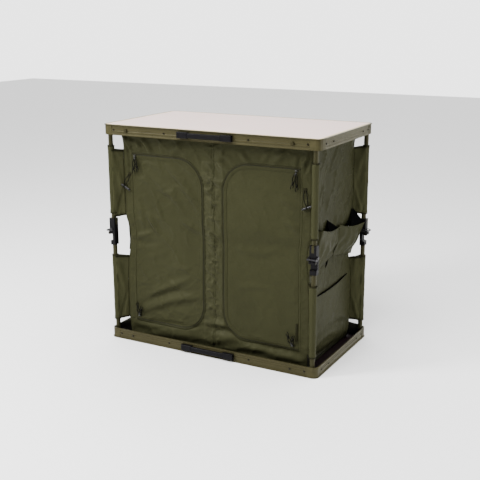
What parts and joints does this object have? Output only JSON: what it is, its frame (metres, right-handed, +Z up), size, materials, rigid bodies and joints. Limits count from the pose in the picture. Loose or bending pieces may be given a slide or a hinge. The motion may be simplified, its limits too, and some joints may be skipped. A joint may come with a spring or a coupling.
{
  "type": "folding storage cabinet",
  "caption": "Folding camping cabinet: fabric box with zipped doors between a hard table top and base on folding legs.",
  "frame": {"origin": "middle of the underside of the bottom tray, on the ground", "axes": "+Z up, +X along the long side to the right seen from the doors, -Y towards the doors"},
  "size_m": [0.813, 0.4555, 0.76],
  "materials": {
    "table_board": "light board",
    "base_board": "dark brown board",
    "frame_paint": "satin olive coating",
    "corner_plastic": "moulded olive",
    "rivet_metal": "dark rivet",
    "latch_metal": "dark latch",
    "tube_paint": "satin olive",
    "black_plastic": "moulded black",
    "green_fabric": "coated woven polyester",
    "floor_board": "covered board",
    "zip_metal": "dark zip"
  },
  "bodies": {
    "bottom_tray": {"bottom_panel": "base_board", "bottom_rails": "frame_paint", "bottom_corners": "corner_plastic", "bottom_rivets": "rivet_metal", "bottom_leg_brackets": "black_plastic", "bottom_leg_pins": "rivet_metal", "bottom_handle_mounts": "black_plastic", "latch_keepers": "latch_metal", "fabric_body": "green_fabric", "floor_board": "floor_board", "centre_divider": "green_fabric", "shelf_left": "green_fabric", "shelf_right": "green_fabric", "leg_sleeves": "green_fabric", "door_toggles": "black_plastic", "side_pockets": "green_fabric"},
    "bottom_handle": {"bottom_grip": "black_plastic"},
    "top_tray": {"top_panel": "table_board", "top_rails": "frame_paint", "top_corners": "corner_plastic", "top_rivets": "rivet_metal", "top_leg_brackets": "black_plastic", "top_leg_pins": "rivet_metal", "top_handle_mounts": "black_plastic"},
    "top_handle": {"top_grip": "black_plastic"},
    "latch_left": {"latch_left": "latch_metal"},
    "latch_right": {"latch_right": "latch_metal"},
    "door_left": {"door_left": "green_fabric"},
    "door_right": {"door_right": "green_fabric"},
    "slider_left_top": {"zip_slider_left_top": "zip_metal"},
    "slider_left_bottom": {"zip_slider_left_bottom": "zip_metal"},
    "slider_right_top": {"zip_slider_right_top": "zip_metal"},
    "slider_right_bottom": {"zip_slider_right_bottom": "zip_metal"},
    "front_left_lower": {"front_left_lower_tube": "tube_paint", "front_left_lower_knuckle": "black_plastic"},
    "front_left_upper": {"front_left_upper_tube": "tube_paint", "front_left_upper_knuckle": "black_plastic", "front_left_knee_pin": "rivet_metal"},
    "front_left_lever": {"front_left_release_lever": "black_plastic"},
    "front_right_lower": {"front_right_lower_tube": "tube_paint", "front_right_lower_knuckle": "black_plastic"},
    "front_right_upper": {"front_right_upper_tube": "tube_paint", "front_right_upper_knuckle": "black_plastic", "front_right_knee_pin": "rivet_metal"},
    "front_right_lever": {"front_right_release_lever": "black_plastic"},
    "back_right_lower": {"back_right_lower_tube": "tube_paint", "back_right_lower_knuckle": "black_plastic"},
    "back_right_upper": {"back_right_upper_tube": "tube_paint", "back_right_upper_knuckle": "black_plastic", "back_right_knee_pin": "rivet_metal"},
    "back_right_lever": {"back_right_release_lever": "black_plastic"},
    "back_left_lower": {"back_left_lower_tube": "tube_paint", "back_left_lower_knuckle": "black_plastic"},
    "back_left_upper": {"back_left_upper_tube": "tube_paint", "back_left_upper_knuckle": "black_plastic", "back_left_knee_pin": "rivet_metal"},
    "back_left_lever": {"back_left_release_lever": "black_plastic"}
  },
  "joints": [
    {"name": "fold", "type": "hinge", "parent": "bottom_tray", "child": "front_left_lower", "pos_m": [-0.384, -0.197, 0.0225], "axis": [0, 1, 0], "range_deg": [0, 90], "deforming": ["fabric_body", "centre_divider", "shelf_left", "shelf_right", "leg_sleeves", "door_toggles", "side_pockets", "door_left", "door_right", "zip_slider_left_top", "zip_slider_left_bottom", "zip_slider_right_top", "zip_slider_right_bottom"]},
    {"name": "front_left_knee", "type": "hinge", "parent": "front_left_lower", "child": "front_left_upper", "pos_m": [-0.397, -0.197, 0.38], "axis": [0, 1, 0], "range_deg": [-180, 0]},
    {"name": "top_tray_level", "type": "hinge", "parent": "front_left_upper", "child": "top_tray", "pos_m": [-0.384, -0.197, 0.7375], "axis": [0, 1, 0], "range_deg": [0, 90]},
    {"name": "front_left_release", "type": "hinge", "parent": "front_left_upper", "child": "front_left_lever", "pos_m": [-0.386, -0.197, 0.394], "axis": [0, 1, 0], "range_deg": [0, 20], "stiffness_Nm_per_rad": 0.12, "springref_deg": -20.05},
    {"name": "front_right_base", "type": "hinge", "parent": "bottom_tray", "child": "front_right_lower", "pos_m": [0.377, -0.204, 0.0225], "axis": [-1, 0, 0], "range_deg": [0, 90]},
    {"name": "front_right_knee", "type": "hinge", "parent": "front_right_lower", "child": "front_right_upper", "pos_m": [0.377, -0.217, 0.38], "axis": [-1, 0, 0], "range_deg": [-180, 0]},
    {"name": "front_right_release", "type": "hinge", "parent": "front_right_upper", "child": "front_right_lever", "pos_m": [0.377, -0.206, 0.394], "axis": [-1, 0, 0], "range_deg": [0, 20], "stiffness_Nm_per_rad": 0.12, "springref_deg": -20.05},
    {"name": "back_right_base", "type": "hinge", "parent": "bottom_tray", "child": "back_right_lower", "pos_m": [0.384, 0.197, 0.0225], "axis": [0, -1, 0], "range_deg": [0, 90]},
    {"name": "back_right_knee", "type": "hinge", "parent": "back_right_lower", "child": "back_right_upper", "pos_m": [0.397, 0.197, 0.38], "axis": [0, -1, 0], "range_deg": [-180, 0]},
    {"name": "back_right_release", "type": "hinge", "parent": "back_right_upper", "child": "back_right_lever", "pos_m": [0.386, 0.197, 0.394], "axis": [0, -1, 0], "range_deg": [0, 20], "stiffness_Nm_per_rad": 0.12, "springref_deg": -20.05},
    {"name": "back_left_base", "type": "hinge", "parent": "bottom_tray", "child": "back_left_lower", "pos_m": [-0.377, 0.204, 0.0225], "axis": [1, 0, 0], "range_deg": [0, 90]},
    {"name": "back_left_knee", "type": "hinge", "parent": "back_left_lower", "child": "back_left_upper", "pos_m": [-0.377, 0.217, 0.38], "axis": [1, 0, 0], "range_deg": [-180, 0]},
    {"name": "back_left_release", "type": "hinge", "parent": "back_left_upper", "child": "back_left_lever", "pos_m": [-0.377, 0.206, 0.394], "axis": [1, 0, 0], "range_deg": [0, 20], "stiffness_Nm_per_rad": 0.12, "springref_deg": -20.05},
    {"name": "bottom_handle_swing", "type": "hinge", "parent": "bottom_tray", "child": "bottom_handle", "pos_m": [0, -0.223, 0.0215], "axis": [-1, 0, 0], "range_deg": [0, 90]},
    {"name": "top_handle_swing", "type": "hinge", "parent": "top_tray", "child": "top_handle", "pos_m": [0, -0.223, 0.7465], "axis": [-1, 0, 0], "range_deg": [0, 90]},
    {"name": "latch_left_turn", "type": "hinge", "parent": "top_tray", "child": "latch_left", "pos_m": [-0.305, -0.217, 0.742], "axis": [0, 1, 0], "range_deg": [0, 90]},
    {"name": "door_left_swing", "type": "hinge", "parent": "bottom_tray", "child": "door_left", "pos_m": [-0.314, -0.173, 0], "axis": [0, 0, -1], "range_deg": [0, 100]},
    {"name": "slider_left_top_run", "type": "slide", "parent": "door_left", "child": "slider_left_top", "axis": [1, 0, 0], "range_m": [0, 0.152]},
    {"name": "slider_left_bottom_run", "type": "slide", "parent": "door_left", "child": "slider_left_bottom", "axis": [1, 0, 0], "range_m": [0, 0.159]},
    {"name": "latch_right_turn", "type": "hinge", "parent": "top_tray", "child": "latch_right", "pos_m": [0.305, -0.217, 0.742], "axis": [0, -1, 0], "range_deg": [0, 90]},
    {"name": "door_right_swing", "type": "hinge", "parent": "bottom_tray", "child": "door_right", "pos_m": [0.314, -0.173, 0], "axis": [0, 0, 1], "range_deg": [0, 100]},
    {"name": "slider_right_top_run", "type": "slide", "parent": "door_right", "child": "slider_right_top", "axis": [-1, 0, 0], "range_m": [0, 0.152]},
    {"name": "slider_right_bottom_run", "type": "slide", "parent": "door_right", "child": "slider_right_bottom", "axis": [-1, 0, 0], "range_m": [0, 0.159]}
  ],
  "couplings": [
    {"joint": "front_left_knee", "follows": "fold", "ratio": -2},
    {"joint": "top_tray_level", "follows": "fold", "ratio": 1},
    {"joint": "front_right_base", "follows": "fold", "ratio": 1},
    {"joint": "front_right_knee", "follows": "fold", "ratio": -2},
    {"joint": "back_right_base", "follows": "fold", "ratio": 1},
    {"joint": "back_right_knee", "follows": "fold", "ratio": -2},
    {"joint": "back_left_base", "follows": "fold", "ratio": 1},
    {"joint": "back_left_knee", "follows": "fold", "ratio": -2}
  ]
}
